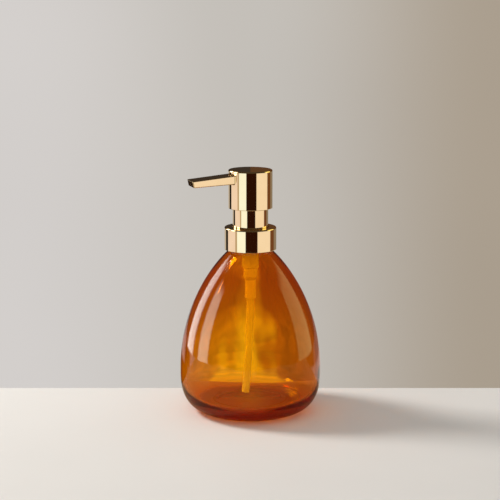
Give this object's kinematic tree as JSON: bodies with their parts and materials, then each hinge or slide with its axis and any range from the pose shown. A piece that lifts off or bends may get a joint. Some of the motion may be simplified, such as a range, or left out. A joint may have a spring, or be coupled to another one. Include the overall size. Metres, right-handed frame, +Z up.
{
  "type": "soap pump dispenser",
  "caption": "Squat rounded amber glass bottle with a screw-on lotion pump clad in polished gold metal, with a flat drooping spout.",
  "frame": {"origin": "middle of the bottle's foot, on the surface that it stands on", "axes": "+Z up along the pump and the bottle, the spout points along -X at rest"},
  "size_m": [0.0894, 0.0894, 0.1548],
  "materials": {
    "amber_glass": "clear amber glass, polished",
    "gold_metal": "bright gold anodised, polished",
    "natural_plastic": "natural polypropylene, satin",
    "soft_plastic": "soft natural polyethylene",
    "tube_plastic": "translucent extruded polyethylene",
    "dark_plastic": "dark moulded nozzle tube",
    "stainless": "drawn stainless wire and ground balls"
  },
  "bodies": {
    "bottle": {"bottle": "amber_glass"},
    "pump": {"pump_housing": "natural_plastic", "dip_tube": "tube_plastic", "neck_gasket": "soft_plastic", "stem_guide": "natural_plastic", "stem_seal": "soft_plastic", "sleeve": "gold_metal", "return_spring": "stainless", "valve_cage": "natural_plastic"},
    "collar": {"collar_shell": "gold_metal", "collar_insert": "natural_plastic"},
    "inlet_valve": {"inlet_ball": "stainless"},
    "plunger": {"stem": "natural_plastic", "piston": "soft_plastic", "piston_post": "natural_plastic"},
    "outlet_valve": {"outlet_ball": "stainless"},
    "head": {"actuator_core": "natural_plastic", "head_shell": "gold_metal", "spout": "gold_metal", "spout_liner": "dark_plastic"}
  },
  "joints": [
    {"name": "pump_rise", "type": "slide", "parent": "bottle", "child": "pump", "axis": [0, 0, 1], "range_m": [0, 0.00635]},
    {"name": "collar_turn", "type": "hinge", "parent": "pump", "child": "collar", "pos_m": [0, 0, 0.111], "axis": [0, 0, 1], "range_deg": [0, 540]},
    {"name": "inlet_ball_lift", "type": "slide", "parent": "pump", "child": "inlet_valve", "axis": [0, 0, 1], "range_m": [0, 0.0012]},
    {"name": "head_press", "type": "slide", "parent": "pump", "child": "plunger", "axis": [0, 0, -1], "range_m": [0, 0.01], "stiffness_N_per_m": 900, "springref_m": -0.01, "deforming": ["return_spring"]},
    {"name": "outlet_ball_lift", "type": "slide", "parent": "plunger", "child": "outlet_valve", "axis": [0, 0, 1], "range_m": [0, 0.001]},
    {"name": "head_swivel", "type": "hinge", "parent": "plunger", "child": "head", "pos_m": [0, 0, 0.14], "axis": [0, 0, 1], "continuous": true}
  ],
  "couplings": [
    {"joint": "pump_rise", "follows": "collar_turn", "m_per_rad": 0.00067322}
  ]
}
